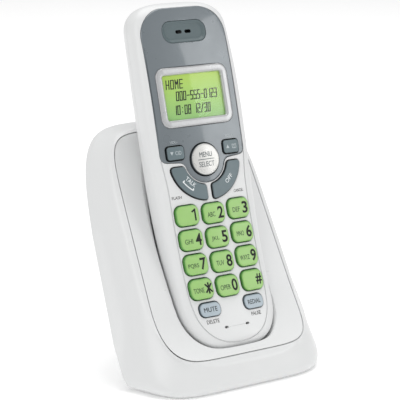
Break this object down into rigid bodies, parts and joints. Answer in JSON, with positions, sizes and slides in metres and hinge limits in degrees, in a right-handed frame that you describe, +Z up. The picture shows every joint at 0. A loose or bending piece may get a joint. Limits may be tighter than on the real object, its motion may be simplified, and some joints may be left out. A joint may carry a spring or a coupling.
{
  "type": "cordless phone with charging base",
  "caption": "Cordless telephone handset with dial keys, display and sliding battery door, standing in a sloping charging cradle that it lifts out of.",
  "frame": {"origin": "middle of the bounding box in plan, on the table that the rubber feet stand on", "axes": "+Z up, +Y towards the back of the base, +X to the right as seen by someone facing the keys"},
  "size_m": [0.0986, 0.087, 0.1578],
  "materials": {
    "white_shell": "smooth semi-gloss moulded ABS",
    "grey_panel": "satin painted plastic",
    "dark_grille": "satin plastic",
    "silver_trim": "satin silver paint on plastic",
    "display_lens": "clear polycarbonate lens",
    "display_green": "backlit liquid crystal module",
    "light_guide": "clear acrylic",
    "green_key": "translucent silicone-coated plastic",
    "silver_key": "satin silver paint on plastic",
    "dark_key": "satin plastic",
    "pale_key": "satin plastic",
    "rubber": "soft silicone",
    "circuit": "solder-masked glass epoxy",
    "contact_metal": "nickel-gold plated",
    "steel": "zinc-plated",
    "battery_wrap": "shrink wrap",
    "black_plastic": "moulded nylon",
    "red_wire": "PVC insulation"
  },
  "bodies": {
    "base": {"base_top_shell": "white_shell", "cradle_insert": "white_shell", "base_rear_cover": "white_shell", "base_circuit_board": "circuit", "power_jack": "black_plastic", "line_jack": "black_plastic", "rubber_foot_1": "rubber", "rubber_foot_2": "rubber", "rubber_foot_3": "rubber", "rubber_foot_4": "rubber", "base_screw_1": "steel", "base_screw_2": "steel", "base_screw_3": "steel", "base_screw_4": "steel"},
    "charge_contact_left": {"charge_contact_left": "contact_metal"},
    "charge_contact_right": {"charge_contact_right": "contact_metal"},
    "find_handset_key": {"find_handset_key": "dark_key"},
    "handset": {"front_shell": "white_shell", "rear_shell": "white_shell", "face_panel": "grey_panel", "display_bezel": "silver_trim", "display_window": "display_lens", "display_module": "display_green", "display_light_guide": "light_guide", "earpiece_grille": "dark_grille", "earpiece_speaker": "black_plastic", "keypad_membrane": "rubber", "handset_circuit_board": "circuit", "ringer": "black_plastic", "microphone": "black_plastic", "battery_pack": "battery_wrap", "battery_connector": "black_plastic", "battery_lead_black": "black_plastic", "battery_lead_red": "red_wire", "charge_pad_left": "contact_metal", "charge_pad_right": "contact_metal", "handset_screw_1": "steel", "handset_screw_2": "steel", "handset_screw_3": "steel", "handset_screw_4": "steel"},
    "battery_door": {"battery_door": "white_shell"},
    "key_1": {"key_1": "green_key"},
    "key_2": {"key_2": "green_key"},
    "key_3": {"key_3": "green_key"},
    "key_4": {"key_4": "green_key"},
    "key_5": {"key_5": "green_key"},
    "key_6": {"key_6": "green_key"},
    "key_7": {"key_7": "green_key"},
    "key_8": {"key_8": "green_key"},
    "key_9": {"key_9": "green_key"},
    "key_star": {"key_star": "green_key"},
    "key_0": {"key_0": "green_key"},
    "key_hash": {"key_hash": "green_key"},
    "key_volume_down": {"key_volume_down": "dark_key"},
    "key_volume_up": {"key_volume_up": "dark_key"},
    "key_mute": {"key_mute": "pale_key"},
    "key_redial": {"key_redial": "pale_key"},
    "key_talk": {"key_talk": "dark_key"},
    "key_off": {"key_off": "dark_key"},
    "key_menu_select": {"key_menu_select": "silver_key"}
  },
  "joints": [
    {"name": "handset_lift", "type": "slide", "parent": "base", "child": "handset", "axis": [0, 0.2731, 0.962], "range_m": [0, 0.105]},
    {"name": "charge_contact_left_spring", "type": "slide", "parent": "base", "child": "charge_contact_left", "axis": [0, 0.2731, 0.962], "range_m": [-0.001, 0], "stiffness_N_per_m": 200, "springref_m": 0.0006},
    {"name": "charge_contact_right_spring", "type": "slide", "parent": "base", "child": "charge_contact_right", "axis": [0, 0.2731, 0.962], "range_m": [-0.001, 0], "stiffness_N_per_m": 200, "springref_m": 0.0006},
    {"name": "find_handset_press", "type": "slide", "parent": "base", "child": "find_handset_key", "axis": [0, 0, -1], "range_m": [0, 0.0008], "stiffness_N_per_m": 500, "springref_m": -0.0004},
    {"name": "battery_door_slide", "type": "slide", "parent": "handset", "child": "battery_door", "axis": [0, -0.3794, -0.9252], "range_m": [0, 0.008]},
    {"name": "key_1_press", "type": "slide", "parent": "handset", "child": "key_1", "axis": [0.0648, 0.9487, -0.3095], "range_m": [0, 0.0007], "stiffness_N_per_m": 800, "springref_m": -0.0004},
    {"name": "key_2_press", "type": "slide", "parent": "handset", "child": "key_2", "axis": [0, 0.9503, -0.3115], "range_m": [0, 0.0007], "stiffness_N_per_m": 800, "springref_m": -0.0004},
    {"name": "key_3_press", "type": "slide", "parent": "handset", "child": "key_3", "axis": [-0.0648, 0.9487, -0.3095], "range_m": [0, 0.0007], "stiffness_N_per_m": 800, "springref_m": -0.0004},
    {"name": "key_4_press", "type": "slide", "parent": "handset", "child": "key_4", "axis": [0.0647, 0.9376, -0.3416], "range_m": [0, 0.0007], "stiffness_N_per_m": 800, "springref_m": -0.0004},
    {"name": "key_5_press", "type": "slide", "parent": "handset", "child": "key_5", "axis": [0, 0.939, -0.344], "range_m": [0, 0.0007], "stiffness_N_per_m": 800, "springref_m": -0.0004},
    {"name": "key_6_press", "type": "slide", "parent": "handset", "child": "key_6", "axis": [-0.0647, 0.9376, -0.3416], "range_m": [0, 0.0007], "stiffness_N_per_m": 800, "springref_m": -0.0004},
    {"name": "key_7_press", "type": "slide", "parent": "handset", "child": "key_7", "axis": [0.0644, 0.9217, -0.3824], "range_m": [0, 0.0007], "stiffness_N_per_m": 800, "springref_m": -0.0004},
    {"name": "key_8_press", "type": "slide", "parent": "handset", "child": "key_8", "axis": [0, 0.9228, -0.3854], "range_m": [0, 0.0007], "stiffness_N_per_m": 800, "springref_m": -0.0004},
    {"name": "key_9_press", "type": "slide", "parent": "handset", "child": "key_9", "axis": [-0.0644, 0.9217, -0.3824], "range_m": [0, 0.0007], "stiffness_N_per_m": 800, "springref_m": -0.0004},
    {"name": "key_star_press", "type": "slide", "parent": "handset", "child": "key_star", "axis": [0.0639, 0.9, -0.4311], "range_m": [0, 0.0007], "stiffness_N_per_m": 800, "springref_m": -0.0004},
    {"name": "key_0_press", "type": "slide", "parent": "handset", "child": "key_0", "axis": [0, 0.9007, -0.4345], "range_m": [0, 0.0007], "stiffness_N_per_m": 800, "springref_m": -0.0004},
    {"name": "key_hash_press", "type": "slide", "parent": "handset", "child": "key_hash", "axis": [-0.0639, 0.9, -0.4311], "range_m": [0, 0.0007], "stiffness_N_per_m": 800, "springref_m": -0.0004},
    {"name": "key_volume_down_press", "type": "slide", "parent": "handset", "child": "key_volume_down", "axis": [0.0703, 0.9601, -0.2707], "range_m": [0, 0.0007], "stiffness_N_per_m": 800, "springref_m": -0.0004},
    {"name": "key_volume_up_press", "type": "slide", "parent": "handset", "child": "key_volume_up", "axis": [-0.0703, 0.9601, -0.2707], "range_m": [0, 0.0007], "stiffness_N_per_m": 800, "springref_m": -0.0004},
    {"name": "key_mute_press", "type": "slide", "parent": "handset", "child": "key_mute", "axis": [0.054, 0.8764, -0.4785], "range_m": [0, 0.0007], "stiffness_N_per_m": 800, "springref_m": -0.0004},
    {"name": "key_redial_press", "type": "slide", "parent": "handset", "child": "key_redial", "axis": [-0.054, 0.8764, -0.4785], "range_m": [0, 0.0007], "stiffness_N_per_m": 800, "springref_m": -0.0004},
    {"name": "key_talk_press", "type": "slide", "parent": "handset", "child": "key_talk", "axis": [0.0524, 0.9583, -0.281], "range_m": [0, 0.0007], "stiffness_N_per_m": 800, "springref_m": -0.0004},
    {"name": "key_off_press", "type": "slide", "parent": "handset", "child": "key_off", "axis": [-0.0524, 0.9583, -0.281], "range_m": [0, 0.0007], "stiffness_N_per_m": 800, "springref_m": -0.0004},
    {"name": "key_menu_select_press", "type": "slide", "parent": "handset", "child": "key_menu_select", "axis": [0, 0.962, -0.2731], "range_m": [0, 0.0007], "stiffness_N_per_m": 800, "springref_m": -0.0004}
  ]
}
